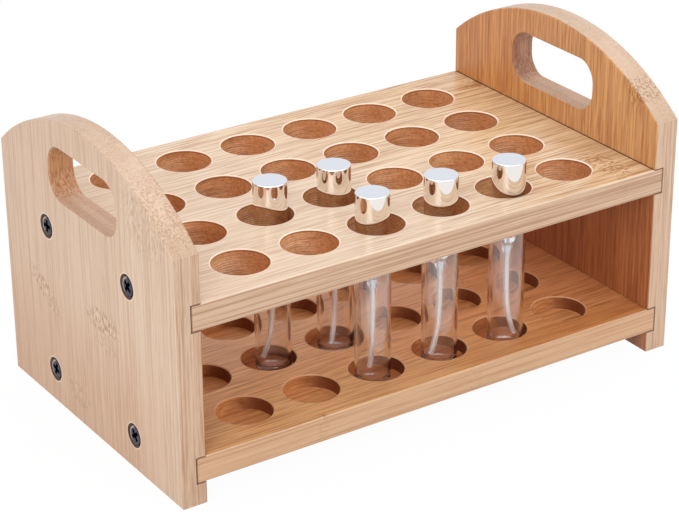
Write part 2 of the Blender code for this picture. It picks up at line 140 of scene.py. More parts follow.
TUBE_DIAMETER = 0.0025
TUBE_BORE = 0.0012
TUBE_REACH_SHARE = 0.67
TUBE_CURL_POWER = 4
TUBE_LEANS = (72, 180, 352, 137, 215)
SPRING_WIRE = 0.0005
SPRING_TURNS = 5
SPRING_CLOSED_ENDS = 0.48

# Floor and sky
WHITE = (1, 1, 1, 1)
FLOOR_REACH = 6.0
FLOOR_WHITE = (0.9, 0.9, 0.9, 1)
FLOOR_BOUNCE = 0.70
FLOOR_GLOW_SHARE = 0.97
SKY_LOW = 0.76
SKY_HIGH = 0.80
SKY_MIRRORED = (0.85, 0.88, 0.93, 1)

# How strongly glass and clear plastic mirror their surroundings
COAT_IOR = 1.9

# Facets
ROUND_SIDES = 96
PIECE_SIDES = 64
SMALL_SIDES = 32
TUBE_SIDES = 24
TUBE_STEPS = 48
SPRING_SIDES = 10
SPRING_TURN_STEPS = 32
ARC_STEPS = 96
CORNER_STEPS = 12
EASE_STEPS = 4
FILLET_STEPS = 4
SHARP_ANGLE = 32

# Bamboo, as fibre along one axis, strips side by side and plies through the thickness
STRIP_WIDTH = 0.020
PLY_THICKNESS = 0.004
PLY_OFFSET = 0.0008
FIBRE_DRIFT = 0.0025

# Grain, as rows of waves a metre along the fibre, waves a metre across it and their share
SIDE_GRAIN = ((11, 1150, 1.5), (16, 520, 0.6), (5, 50, 0.5))
BOARD_GRAIN = ((32, 1150, 2.0), (40, 480, 0.2), (5, 50, 0.2))

# A line beside an edge fades from the near length to the far one
LINE_NEAR = 0.0003
LINE_FAR = 0.0008

# The blur of a sharp border between two tones
LINE_BLUR = 0.0002

# The pale lines on the holes' walls
HOLE_LINE_PITCH = 0.00105
HOLE_WOBBLE = 0.0026
HOLE_LINES_BELOW = (0.001, 0.006)

# Where a redder strip of the sides meets a paler one
SIDE_SEAM = -0.029

# Tints that multiply the bamboo's colour in one place or another
END_GRAIN_TINT = (0.75, 0.705, 0.665, 1)
SIDE_EDGE_TINT = (0.715, 0.65, 0.605, 1)
SIDE_STRIP_TINT = (0.965, 0.95, 0.94, 1)
SIDE_BACK_TINT = (0.955, 0.93, 0.91, 1)
FOOT_TINT = (0.93, 0.84, 0.765, 1)
# Painted warm bounce light on the sides' faces that look into the rack
INNER_BOUNCE_TINT = (1.0, 0.735, 0.415, 1)
INNER_STREAK_TINT = (0.82, 0.76, 0.78, 1)
# Painted shade towards the back of those faces
INNER_BACK_SHADE_TINT = (1.0, 0.89, 0.73, 1)
INNER_DASH_TINT = (0.85, 0.75, 0.68, 1)
# Painted shade on those faces in the bay under the upper board
BAY_SIDE_SHADE_TINT = (0.66, 0.46, 0.41, 1)
# Painted shade on the far end wall of the left side's hand slot
SLOT_END_SHADE_TINT = (0.88, 0.70, 0.50, 1)
SLOT_PLY_TINT = (0.93, 0.90, 0.89, 1)
# Painted shade on the far end wall of the right side's hand slot
SLOT_RIGHT_SHADE_TINT = (0.66, 0.52, 0.46, 1)
UPPER_RIGHT_TINT = (0.945, 0.84, 0.67, 1)
# Painted warm bounce light and shade on the lower board's top, under the upper board
LOWER_TOP_BOUNCE_TINT = (0.965, 0.765, 0.52, 1)
LOWER_BACK_TINT = (1.13, 1.08, 1.12, 1)
LOWER_RIGHT_TINT = (0.97, 0.82, 0.76, 1)
LOWER_CORNER_TINT = (0.86, 0.77, 0.66, 1)
BOARD_EDGE_TINT = (0.794, 0.710, 0.670, 1)
# Painted shade along the crease where the upper board meets the sides
JOINT_SHADE_TINT = (0.45, 0.27, 0.17, 1)
# Painted shade where the boards' tongues lie in the sides' grooves
TONGUE_SHADE_TINT = (0.42, 0.31, 0.25, 1)
STREAK_TINT = (0.74, 0.58, 0.42, 1)
VEIN_TINT = (0.80, 0.67, 0.56, 1)
# Partly end grain and partly painted shade, on hole walls that face left
HOLE_END_GRAIN_AND_SHADE_TINT = (0.91, 0.79, 0.71, 1)
HOLE_FRONT_TINT = (0.90, 0.86, 0.86, 1)
HOLE_SPECK_TINT = (0.66, 0.56, 0.50, 1)
# Painted shade on the seats' walls, darkest on the right
SEAT_WALL_SHADE_TINT = (0.26, 0.13, 0.09, 1)
# Painted shadow in a seat where a vial stands
VIAL_SHADOW_TINT = (0.64, 0.48, 0.43, 1)
# Painted shadow just under a hole's eased rim
UNDER_RIM_SHADOW_TINT = (0.62, 0.52, 0.46, 1)
TICK_TINT = (0.72, 0.60, 0.50, 1)


def srgb(red, green, blue):
    """A colour as it is seen, from 0 to 255, as the linear values that a shader takes."""
    values = []
    for channel in (red, green, blue):
        share = channel / 255
        values.append(share / 12.92 if share <= 0.04045 else ((share + 0.055) / 1.055) ** 2.4)
    return (*values, 1.0)


# Tones mixed into the bamboo's colour in one place or another
CALM_TONE = srgb(214, 188, 162)
# Painted as a pale highlight on eased rims, and also the tone of the pale lines on the holes' walls
RIM_HIGHLIGHT_AND_LINE_TONE = srgb(250, 223, 200)
# Painted as a pale highlight on the lower board's eased rims
LOWER_RIM_HIGHLIGHT_TONE = srgb(216, 164, 122)


# Meshes


def smooth_faces(mesh):
    mesh.shade_smooth()
    mesh.set_sharp_from_angle(angle=math.radians(SHARP_ANGLE))


def finish_mesh(bm, name):
    bmesh.ops.recalc_face_normals(bm, faces=bm.faces)
    mesh = bpy.data.meshes.new(name)
    bm.to_mesh(mesh)
    bm.free()
    smooth_faces(mesh)
    return mesh


def linked(name, data, location=(0, 0, 0)):
    obj = bpy.data.objects.new(name, data)
    bpy.context.scene.collection.objects.link(obj)
    obj.location = location
    return obj


def add_object(name, mesh, material, location=(0, 0, 0)):
    obj = linked(name, mesh, location)
    mesh.materials.clear()
    mesh.materials.append(material)
    return obj


def join_rings(bm, first, second):
    for i in range(max(len(first), len(second))):
        places = ((first, i), (first, i + 1), (second, i + 1), (second, i))
        corners = dict.fromkeys(ring[index % len(ring)] for ring, index in places)
        bm.faces.new(list(corners))


def filleted(profile):
    """The profile's points, with each corner that has a third value rounded to that radius."""
    points = []
    count = len(profile)
    for i, (x, y, *fillet) in enumerate(profile):
        corner = Vector((x, y))
        if not fillet:
            points.append(corner)
            continue
        radius = fillet[0]
        before = (Vector(profile[i - 1][:2]) - corner).normalized()
        after = (Vector(profile[(i + 1) % count][:2]) - corner).normalized()
        half = before.angle(after) / 2
        centre = corner + (before + after).normalized() * radius / math.sin(half)
        start = corner + before * radius / math.tan(half) - centre
        end = corner + after * radius / math.tan(half) - centre
        sweep = math.atan2(start.x * end.y - start.y * end.x, start.dot(end))
        for step in range(FILLET_STEPS + 1):
            points.append(centre + Matrix.Rotation(sweep * step / FILLET_STEPS, 2) @ start)
    return points


def add_turned(bm, profile, sides, matrix=Matrix()):
    """A body turned about the matrix's Z axis, through points of radius and height."""
    rings = []
    for radius, height in filleted(profile):
        ring = []
        for i in range(sides if radius > 0 else 1):
            angle = 2 * math.pi * i / sides
            place = Vector((radius * math.cos(angle), radius * math.sin(angle), height))
            ring.append(bm.verts.new(matrix @ place))
        rings.append(ring)
    for i, ring in enumerate(rings):
        following = rings[(i + 1) % len(rings)]
        if len(ring) > 1 or len(following) > 1:
            join_rings(bm, ring, following)


def turned_mesh(name, profile, sides=PIECE_SIDES):
    bm = bmesh.new()
    add_turned(bm, profile, sides)
    return finish_mesh(bm, name)


def add_solid(bm, rings):
    """A solid through rings of vertices, closed at its first and last one."""
    bm.faces.new(rings[0])
    bm.faces.new(list(reversed(rings[-1])))
    for first, second in zip(rings, rings[1:]):
        join_rings(bm, first, second)


def add_stack(bm, outlines):
    """A solid through equal-length outlines, each given as (place along X, points in Y and Z)."""
    add_solid(bm, [[bm.verts.new((x, y, z)) for y, z in points] for x, points in outlines])


def cut(target, bm, material):
    """Takes the bmesh's bodies out of the target, and gives the cut faces the material."""
    cutter = add_object("cutter", finish_mesh(bm, "cutter"), material)
    modifier = target.modifiers.new("cut", "BOOLEAN")
    modifier.operation = "DIFFERENCE"
    modifier.material_mode = "TRANSFER"
    modifier.object = cutter
    bpy.context.view_layer.update()
    graph = bpy.context.evaluated_depsgraph_get()
    mesh = bpy.data.meshes.new_from_object(target.evaluated_get(graph))
    mesh.name = target.name
    target.modifiers.clear()
    target.data = mesh
    bpy.data.objects.remove(cutter)


def even_normals(obj):
    """Keeps flat faces flat beside their rounded edges."""
    smooth_faces(obj.data)
    modifier = obj.modifiers.new("normals", "WEIGHTED_NORMAL")
    modifier.keep_sharp = True
    modifier.weight = 100


def assign(obj, body, node, slot):
    """The piece rides its body and takes its node's place; its material slot is not used."""
    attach(obj, body)
    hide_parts(node)


# Materials


class Wire:
    """A node's output. Each sum or product with it makes the node that works it out."""

    def __init__(self, wiring, socket):
        self.wiring = wiring
        self.socket = socket

    def __add__(self, other):
        return self.wiring.math("ADD", self, other)

    def __sub__(self, other):
        return self.wiring.math("SUBTRACT", self, other)

    def __rsub__(self, other):
        return self.wiring.math("SUBTRACT", other, self)

    def __mul__(self, other):
        return self.wiring.math("MULTIPLY", self, other)

    def __truediv__(self, other):
        return self.wiring.math("DIVIDE", self, other)

    def __abs__(self):
        return self.wiring.math("ABSOLUTE", self)


class Wiring:
    """Makes and joins the nodes of a material or of the world."""

    def __init__(self, tree):
        self.tree = tree

    def feed(self, node, inputs):
        for name, value in inputs.items():
            if isinstance(value, Wire):
                self.tree.links.new(value.socket, node.inputs[name])
            else:
                node.inputs[name].default_value = value

    def node(self, kind, inputs=(), **settings):
        made = self.tree.nodes.new(kind)
        for key, value in settings.items():
            setattr(made, key, value)
        self.feed(made, dict(inputs))
        return made

    def wire(self, node, output=0):
        return Wire(self, node.outputs[output])

    def math(self, operation, *values, clamp=False):
        settings = {"operation": operation, "use_clamp": clamp}
        return self.wire(self.node("ShaderNodeMath", enumerate(values), **settings))

    def combine(self, x, y, z):
        return self.wire(self.node("ShaderNodeCombineXYZ", enumerate((x, y, z))))

    def split(self, vector):
        parts = self.node("ShaderNodeSeparateXYZ", {0: vector})
        return tuple(self.wire(parts, i) for i in range(3))

    def coordinates(self, kind="Object"):
        return self.split(self.wire(self.node("ShaderNodeTexCoord"), kind))

    def stretched(self, place, along, across, detail=2.0, roughness=0.5, distortion=0.0):
        """Noise with this many waves a metre along the fibre and across it."""
        inputs = {"Vector": self.scaled(place, along, across), "Scale": 1.0, "Detail": detail}
        inputs.update({"Roughness": roughness, "Distortion": distortion})
        return self.wire(self.node("ShaderNodeTexNoise", inputs), "Fac")

    def scaled(self, place, along, across):
        u, v, w = place
        return self.combine(u * along, v * across, w * across)

    def smooth(self, value, low, high, start=0.0, end=1.0):
        """From start, where the value is low, to end, where it is high."""
        inputs = enumerate((value, low, high, start, end))
        return self.wire(self.node("ShaderNodeMapRange", inputs, interpolation_type="SMOOTHSTEP"))

    def off_middle(self, value):
        """How far the value is from the middle between two whole numbers."""
        return abs(self.math("FRACT", value) - 0.5)

    def squares(self, a, b):
        return a * a + b * b

    def length(self, a, b):
        return self.math("SQRT", self.squares(a, b))

    def mix(self, factor, first, second, blend="MIX"):
        made = self.node("ShaderNodeMix", {"Factor": factor}, data_type="RGBA", blend_type=blend)
        places = (i for i, socket in enumerate(made.inputs) if socket.type == "RGBA")
        self.feed(made, dict(zip(places, (first, second))))
        return Wire(self, next(socket for socket in made.outputs if socket.type == "RGBA"))

    def tint(self, colour, where, tint):
        return self.mix(where, colour, tint, "MULTIPLY")

    def mix_shaders(self, factor, first, second):
        return self.wire(self.node("ShaderNodeMixShader", enumerate((factor, first, second))))


class Surface(Wiring):
    """The nodes of a material with a Principled BSDF."""

    def __init__(self, name):
        self.material = bpy.data.materials.new(name)
        self.material.use_nodes = True
        super().__init__(self.material.node_tree)
        self.shader = self.tree.nodes["Principled BSDF"]

    def set(self, name, value):
        self.feed(self.shader, {name: value})

    def bump(self, height, strength, distance):
        inputs = {"Strength": strength, "Distance": distance, "Height": height}
        self.set("Normal", self.wire(self.node("ShaderNodeBump", inputs)))


def bamboo(
    name, fibre, tones, ply_start, marks=(), roughness=0.35, shade=None,
    layers=1.0, grain=SIDE_GRAIN, contrast=1.0,
):
    """Laminated bamboo with its fibre along X or Z.

    Tones are pale, middle and dark. Each mark of a stem's node is its place along and across the
    fibre, its length, its width, how far it slants, how dark it is and, where only one of two
    sides has it, that side's end. Layers below 1 stretch the pattern across the fibre, so that
    lines through the thickness stand out.
    """
    pale, middle, dark = tones
    w = Surface(name)
    place = x, y, z = w.coordinates()
    facing = w.coordinates("Normal")
    along, straight, deep = (x, y, z) if fibre == "X" else (z, y, x)
    end_grain = w.smooth(abs(facing[0] if fibre == "X" else facing[2]), 0.3, 0.8)

    # The fibres wander a little from a straight line
    drift = w.stretched((along, straight, deep), 14, 30, detail=1.0) - 0.5
    fibres = (along, (straight + drift * FIBRE_DRIFT) * layers, deep)

    # Strips and plies, each with its own tone, and a thin glue line between them
    ply = (deep - ply_start) / PLY_THICKNESS
    ply_index = w.math("FLOOR", ply)
    strip = straight / STRIP_WIDTH + ply_index * 0.37
    corner = w.combine(w.math("FLOOR", strip), ply_index, 3.7)
    hashed = w.node("ShaderNodeTexWhiteNoise", {"Vector": corner}, noise_dimensions="3D")
    strip_tone = w.wire(hashed)
    strip_seam = w.smooth(w.off_middle(strip), 0.490, 0.5)
    ply_seam = w.smooth(w.off_middle(ply), 0.455, 0.5)
    seam = w.math("MAXIMUM", strip_seam * 0.4, ply_seam * 0.8)

    # Fine fibre, streaks and broad clouds, calmer on the end grain
    calm = 1.0 - end_grain * 0.75
    fine = w.stretched(fibres, 60, 1900, detail=1.0, roughness=0.6)
    amount = (strip_tone - 0.5) * 0.2 + (fine - 0.5) * 1.1
    for waves_along, waves_across, share in grain:
        waves = w.stretched(fibres, waves_along, waves_across, detail=1.0) - 0.5
        amount = amount + waves * share * calm
    amount = w.math("ADD", amount * contrast, 0.5, clamp=True)
    ramp = w.node("ShaderNodeValToRGB", {"Fac": amount})
    first, last = ramp.color_ramp.elements
    first.position, first.color = 0.15, dark
    last.position, last.color = 0.85, pale
    ramp.color_ramp.elements.new(0.5).color = middle
    colour = w.wire(ramp, "Color")

    # Fibre bundles: short dashes along the wood, dots on its end grain
    scaled = w.scaled(fibres, 130, 1500)
    cells = w.node("ShaderNodeTexVoronoi", {"Scale": 1.0, "Vector": scaled})
    chance = w.split(w.wire(cells, "Color"))[0]
    strength = w.smooth(chance, 0.35, 0.8, 0.12 * contrast, 0.38 * contrast)
    bundle = w.smooth(w.wire(cells, "Distance"), 0.5, 0.15) * strength
    colour = w.mix(bundle, colour, dark)
    colour = w.mix(seam * 0.5, colour, dark)

    # Round a node of the stem the bundles break up into ticks
    if marks:
        ticks = w.stretched(fibres, 330, 1100, detail=1.0, distortion=0.4)
        dark_ticks = w.smooth(ticks, 0.51, 0.57)
        pale_ticks = w.smooth(ticks, 0.47, 0.40)
        deeper = tuple(tone * tint for tone, tint in zip(dark, TICK_TINT))
        for mark_along, mark_across, length, width, slant, strength, *end in marks:
            if end:
                strength = w.smooth(deep * end[0], -SIDE_THICKNESS, SIDE_THICKNESS, 0.0, strength)
            aside = straight - mark_across
            ahead = along - (aside * slant + mark_along)
            squared = w.squares(ahead / (length / 2), aside / (width / 2))
            inside = w.smooth(squared, 1.0, 0.4) * strength
            colour = w.mix(inside * dark_ticks, colour, deeper)
            colour = w.mix(inside * pale_ticks * 0.5, colour, pale)

    if shade:
        colour = shade(w, place, facing, colour)
    w.set("Base Color", colour)
    w.set("Roughness", roughness)
    w.bump(fine, 0.1, 0.0002)
    return w.material


def screw_measures(node):
    """A screw's middle, its length and the radius of its head, which is a little grown."""
    low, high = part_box(node)
    return (low + high) / 2, high.x - low.x, (high.y - low.y) / 2 + SCREW_HEAD_GROWTH


def shade_side(w, place, facing, colour):
    """The faces that look into the rack are streakier and warmer with painted bounce light, and
    those in the bay darker with painted shade; a pale highlight is painted round the screws'
    mouths.
    """
    x, y, z = place
    colour = w.tint(colour, w.smooth(abs(facing[2]), 0.3, 0.8), END_GRAIN_TINT)
    colour = w.tint(colour, w.smooth(abs(facing[1]), 0.5, 0.9), SIDE_EDGE_TINT)
    seam = w.smooth(y, SIDE_SEAM - 2 * LINE_BLUR, SIDE_SEAM + 2 * LINE_BLUR)
    colour = w.tint(colour, seam, SIDE_STRIP_TINT)
    colour = w.tint(colour, w.smooth(y, -0.01, 0.07), SIDE_BACK_TINT)
    foot = w.smooth(z, 0.075, 0.02) * w.smooth(y, -0.068, -0.045, 0.3, 1.0)
    colour = w.tint(colour, foot, FOOT_TINT)
    for node in screw_nodes:
        middle, _, head = screw_measures(node)
        if middle.x < 0:
            mouth = head + COUNTERSINK_CLEARANCE + SCREW_SINK
            distance = w.length(y - middle.y, z - middle.z)
            # A pale highlight is painted on the eased lip round the screw's mouth
            lip = w.smooth(distance, mouth + LINE_FAR, mouth + LINE_NEAR, 0.0, 0.6)
            colour = w.mix(lip, colour, RIM_HIGHLIGHT_AND_LINE_TONE)
    # Painted warm bounce light on the faces that look into the rack, and painted shade towards
    # their back and in the bay
    inside = w.smooth(abs(x), side_inner + LINE_FAR, side_inner + LINE_BLUR)
    colour = w.tint(colour, inside, INNER_BOUNCE_TINT)
    fibres = (z, y, x)
    streaks = w.smooth(w.stretched(fibres, 10, 620, detail=1.0), 0.40, 0.60, 0.0, 0.95)
    colour = w.tint(colour, streaks * inside, INNER_STREAK_TINT)
    dashes = w.smooth(w.stretched(fibres, 55, 950, detail=1.0), 0.50, 0.60)
    colour = w.tint(colour, dashes * inside, INNER_DASH_TINT)
    colour = w.tint(colour, w.smooth(y, -0.03, 0.05) * inside, INNER_BACK_SHADE_TINT)
    bay = inside * w.smooth(z, shelf_high.z - 0.002, shelf_low.z)
    return w.tint(colour, bay, BAY_SIDE_SHADE_TINT)


def shade_slot(w, place, facing, colour):
    """The hand slot's far end wall has painted shade, warmer on the left side and darker on the
    right one.

    Two plies of three are a little darker than the one between them.
    """
    x = place[0]
    from_middle = abs(abs(x) - side_inner - SIDE_THICKNESS * 0.55)
    outer_plies = w.smooth(from_middle, SIDE_THICKNESS * 0.12, SIDE_THICKNESS * 0.16)
    colour = w.tint(colour, outer_plies, SLOT_PLY_TINT)
    # Painted shade on the slot's far end wall, warmer on the left side and darker on the right
    far_end = w.smooth(facing[1], 0.1, -0.8)
    for end, tint in ((-1, SLOT_END_SHADE_TINT), (1, SLOT_RIGHT_SHADE_TINT)):
        one_side = w.smooth(x, -end * SIDE_THICKNESS, end * SIDE_THICKNESS)
        colour = w.tint(colour, far_end * one_side, tint)
    return colour


def board_edge(w, place, edge, colour, tones, low, high, line_share):
    """A board's edges show thin dark lines along its plies, between eased corners with a painted
    pale highlight.

    The corners of its tongues, which lie in the sides' grooves, and its ends there are dark with
    painted shade.
    """
    x, y, z = place
    colour = w.mix(edge * 0.72, colour, tones[1])
    lines = w.smooth(w.stretched(place, 8, 1150), 0.52, 0.61, 0.0, line_share)
    from_seam = 0.5 - w.off_middle((z - (low.z + PLY_OFFSET)) / PLY_THICKNESS)
    wander = (w.stretched(place, 12, 12) - 0.5) * 0.16
    broken = w.smooth(w.stretched((x, z, y), 18, 18), 0.3, 0.6, 0.15, line_share * 0.8)
    seam = w.smooth(abs(from_seam - wander), 0.075, 0.03) * broken
    colour = w.mix(w.math("MAXIMUM", lines, seam) * edge, colour, tones[2])
    colour = w.tint(colour, edge, BOARD_EDGE_TINT)
    front = w.smooth(abs(y), depth / 2 - EDGE_EASE * 1.3, depth / 2 - EDGE_EASE)
    tongue = w.smooth(abs(x), side_inner - LINE_BLUR / 2, side_inner + LINE_BLUR)
    # On the eased corners along the front a pale highlight is painted, and shade where they run
    # into the grooves
    for level in (low.z, high.z):
        rim = near_height(w, z, level) * front
        colour = w.mix(rim * (line_share * 0.6), colour, tones[0])
        colour = w.tint(colour, rim * tongue, TONGUE_SHADE_TINT)
    # Painted shade on the board's ends in the grooves
    tip = w.smooth(abs(x), high.x - EDGE_EASE, high.x - LINE_NEAR)
    return w.tint(colour, tip * edge, TONGUE_SHADE_TINT)


def shade_upper(w, place, facing, colour):
    """The upper board is paler and calmer at its left, and streakier in its far right corner."""
    x, y, _ = place
    top = w.smooth(facing[2], 0.5, 0.9)
    rightward = x + y * 0.5
    colour = w.tint(colour, w.smooth(rightward, -0.08, 0.12) * top, UPPER_RIGHT_TINT)
    veins = w.smooth(w.stretched(place, 9, 360), 0.585, 0.635, 0.0, 0.6)
    colour = w.tint(colour, veins * top, VEIN_TINT)
    colour = w.mix(w.smooth(rightward, 0.06, -0.10, 0.0, 0.55) * top, colour, CALM_TONE)
    streaks = w.smooth(w.stretched(place, 16, 330), 0.50, 0.64)
    corner = w.smooth(x, 0.03, 0.11) * w.smooth(y, 0.02, 0.06)
    colour = w.tint(colour, streaks * corner * top, STREAK_TINT)
    # A pale highlight is painted round each hole's eased rim
    colour = w.mix(hole_rim(w, place) * top * 0.7, colour, RIM_HIGHLIGHT_AND_LINE_TONE)
    # Painted shade along the crease where the top meets each side
    joint = w.smooth(abs(x), side_inner - LINE_FAR, side_inner - LINE_NEAR)
    colour = w.tint(colour, joint * top, JOINT_SHADE_TINT)
    return board_edge(w, place, 1.0 - top, colour, board_tones, shelf_low, shelf_high, 0.7)


def shade_lower(w, place, facing, colour):
    """The lower board's top, under the upper board, is warmer than its edges with painted bounce
    light and shade, and warmer still at the right.
    """
    x, y, _ = place
    top = w.smooth(facing[2], 0.5, 0.9)
    # Painted warm bounce light and shade on the top, which lies under the upper board
    colour = w.tint(colour, top, LOWER_TOP_BOUNCE_TINT)
    colour = w.tint(colour, w.smooth(x, -0.06, 0.09) * top, LOWER_RIGHT_TINT)
    # A pale highlight is painted round each seat's eased rim
    colour = w.mix(hole_rim(w, place) * top * 0.5, colour, LOWER_RIM_HIGHLIGHT_TONE)
    colour = w.tint(colour, w.smooth(y, -0.058, -0.035) * top, LOWER_BACK_TINT)
    corner = w.smooth(x, -0.04, 0.10) * w.smooth(y, -0.052, -0.068)
    colour = w.tint(colour, corner * top, LOWER_CORNER_TINT)
    return board_edge(w, place, 1.0 - top, colour, lower_tones, lower_low, lower_high, 0.45)


def hole_rim(w, place):
    """A thin ring on a board's top round each hole, where a pale highlight is painted."""
    away = []
    for value, places, pitch in ((place[0], column_x, COLUMN_PITCH), (place[1], row_y, ROW_PITCH)):
        along = (value - places[0]) / pitch
        index = w.math("MAXIMUM", w.math("ROUND", along), 0)
        away.append((along - w.math("MINIMUM", index, len(places) - 1)) * pitch)
    radius = HOLE_DIAMETER / 2
    return w.smooth(w.length(*away), radius + RIM_EASE * 2.0, radius + RIM_EASE * 1.2)


def near_height(w, z, height):
    return w.smooth(abs(z - height), RIM_EASE * 1.3, RIM_EASE)


def shade_hole(w, place, facing, colour):
    """A hole's wall turns from golden to dark red, partly as end grain and partly as painted shade,
    and has pale wavy lines, a painted shadow just under its rim and a painted pale highlight on its
    eased rim.
    """
    x, y, z = place
    # Walls that face left turn darker and redder, partly as end grain and partly as painted shade,
    # and a little greyer in the front holes
    end = w.smooth(facing[0], 0.6, -0.9)
    colour = w.tint(colour, end, HOLE_END_GRAIN_AND_SHADE_TINT)
    colour = w.tint(colour, end * w.smooth(y, 0.0, -0.05), HOLE_FRONT_TINT)
    specks = w.smooth(w.stretched(place, 850, 850, detail=1.0), 0.50, 0.62, 0.0, 0.5)
    colour = w.tint(colour, specks, HOLE_SPECK_TINT)
    wobble = w.stretched(place, 110, 110, detail=1.0) * HOLE_WOBBLE
    waves = w.off_middle((z + wobble) / HOLE_LINE_PITCH)
    patches = w.smooth(w.stretched(place, 55, 55), 0.34, 0.52)
    low = w.smooth(z, *(shelf_high.z - below for below in HOLE_LINES_BELOW)) * patches
    left = w.smooth(facing[0], -0.9, 0.1)
    colour = w.mix(w.smooth(waves, 0.28, 0.46, 0.0, 0.65) * (low * left), colour, RIM_HIGHLIGHT_AND_LINE_TONE)
    # Under each rim a painted shadow line, and on the eased rim a painted pale highlight
    for level, tone in ((shelf_high.z, RIM_HIGHLIGHT_AND_LINE_TONE), (lower_high.z, LOWER_RIM_HIGHLIGHT_TONE)):
        from_line = abs(z - (level - RIM_EASE * 2))
        under = w.smooth(from_line, RIM_EASE * 1.5, RIM_EASE * 0.5)
        colour = w.tint(colour, under, UNDER_RIM_SHADOW_TINT)
        colour = w.mix(near_height(w, z, level), colour, tone)
    return colour


def shade_seat(w, place, facing, colour):
    """A seat's wall has painted shade that is darkest and reddest on the right, a seat with a vial
    in it is dimmed by a painted shadow, and its eased rim has a painted pale highlight.
    """
    x, y, z = place
    wall = w.smooth(abs(facing[2]), 0.7, 0.3)
    # Painted shade on the seat's walls, darkest on the right, where they face left
    colour = w.tint(colour, wall * w.smooth(facing[0], 0.25, -1.15), SEAT_WALL_SHADE_TINT)
    reach = HOLE_DIAMETER / 2 + RIM_EASE
    # A painted shadow dims each seat that a vial stands in
    for number in range(1, len(TUBE_LEANS) + 1):
        low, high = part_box(f"glass_vial_{number}")
        middle = (low + high) / 2
        seat_x = min(column_x, key=lambda column: abs(column - middle.x))
        seat_y = min(row_y, key=lambda row: abs(row - middle.y))
        inside = w.smooth(w.squares(x - seat_x, y - seat_y), (reach * 1.05) ** 2, reach**2)
        colour = w.tint(colour, inside, VIAL_SHADOW_TINT)
    # A pale highlight is painted on the seat's eased rim
    return w.mix(near_height(w, z, lower_high.z), colour, LOWER_RIM_HIGHLIGHT_TONE)


def plain(
    name, colour, roughness, metallic=0.0, transmission=0.0, ior=1.5, grain=0.0, wave=0.0, coat=0.0
):
    """A manufactured surface, with a slight unevenness of its gloss and of its form."""
    w = Surface(name)
    w.set("Base Color", colour)
    w.set("Metallic", metallic)
    w.set("Transmission Weight", transmission)
    w.set("IOR", ior)
    w.set("Roughness", roughness)
    w.set("Coat Weight", coat)
    w.set("Coat IOR", COAT_IOR)
    x, y, z = w.coordinates()
    if grain:
        uneven = w.stretched((x, y, z), 400, 400, detail=3.0)
        w.set("Roughness", w.smooth(uneven, 0.2, 0.8, roughness, roughness + grain))
    if wave:
        w.bump(w.stretched((z, x, y), 30, 260, detail=1.0), wave, 0.001)
    return w.material


def screw_steel(name, colour, painted_highlight):
    """Black steel with a painted highlight, a bright arc near the back edge of its head."""
    w = Surface(name)
    place = w.coordinates()
    y, z = place[1:]
    uneven = w.stretched(place, 900, 900)
    from_arc = abs(w.length(y, z) - SCREW_ARC_RADIUS)
    arc = w.smooth(from_arc, SCREW_ARC_WIDTH, SCREW_ARC_WIDTH * 0.5)
    arc = arc * w.smooth(y + z * 0.25, *SCREW_ARC_FADE)
    arc = arc * w.smooth(uneven, 0.36, 0.50, 0.45, 1.0)
    # The arc is a painted highlight on the head
    w.set("Base Color", w.mix(arc, colour, painted_highlight))
    w.set("Metallic", 0.8)
    w.set("Roughness", w.smooth(uneven, 0.2, 0.8, 0.25, 0.45))
    return w.material


def drawn_silver(name, colour, side_reflection_colour, roughness, tilt, lean):
    """Bright drawn metal whose side draws in by the tilt and whose top is a little aslant; its
    side's warmer colour is a painted reflection of the wood.
    """
    w = Surface(name)
    upward = w.coordinates("Normal")[2]
    # The side's warmer colour is a painted reflection of the wood
    w.set("Base Color", w.mix(w.smooth(upward, 0.4, 0.8), side_reflection_colour, colour))
    w.set("Metallic", 1.0)
    uneven = w.stretched(w.coordinates(), 300, 300)
    w.set("Roughness", w.smooth(uneven, 0.2, 0.8, roughness, roughness * 1.6))
    normal = w.wire(w.node("ShaderNodeNewGeometry"), "Normal")
    rising = w.math("MAXIMUM", w.split(normal)[2], 0.0)
    aslant = w.combine(rising * lean[0], rising * lean[1], -tilt)
    lowered = w.wire(w.node("ShaderNodeVectorMath", {0: normal, 1: aslant}, operation="ADD"))
    unit = w.node("ShaderNodeVectorMath", {0: lowered}, operation="NORMALIZE")
    w.set("Normal", w.wire(unit))
    return w.material


# Pieces of the rack

rack = "rack"
screw_nodes = [node for node in frame["nodes"] if node.startswith("screw_")]
screw_turns = {node: (18 + 37 * i) % 90 for i, node in enumerate(sorted(screw_nodes))}
shelf_low, shelf_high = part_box("upper_shelf")
lower_low, lower_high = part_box("lower_shelf")
side_low, side_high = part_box("left_side")
side_outer = -side_low.x
side_inner = side_outer - SIDE_THICKNESS
depth = side_high.y - side_low.y
column_x = [(i - (COLUMNS - 1) / 2) * COLUMN_PITCH for i in range(COLUMNS)]
row_y = [FRONT_MARGIN + i * ROW_PITCH - depth / 2 for i in range(ROWS)]
quarter = [math.pi / 2 * i / EASE_STEPS for i in range(EASE_STEPS + 1)]

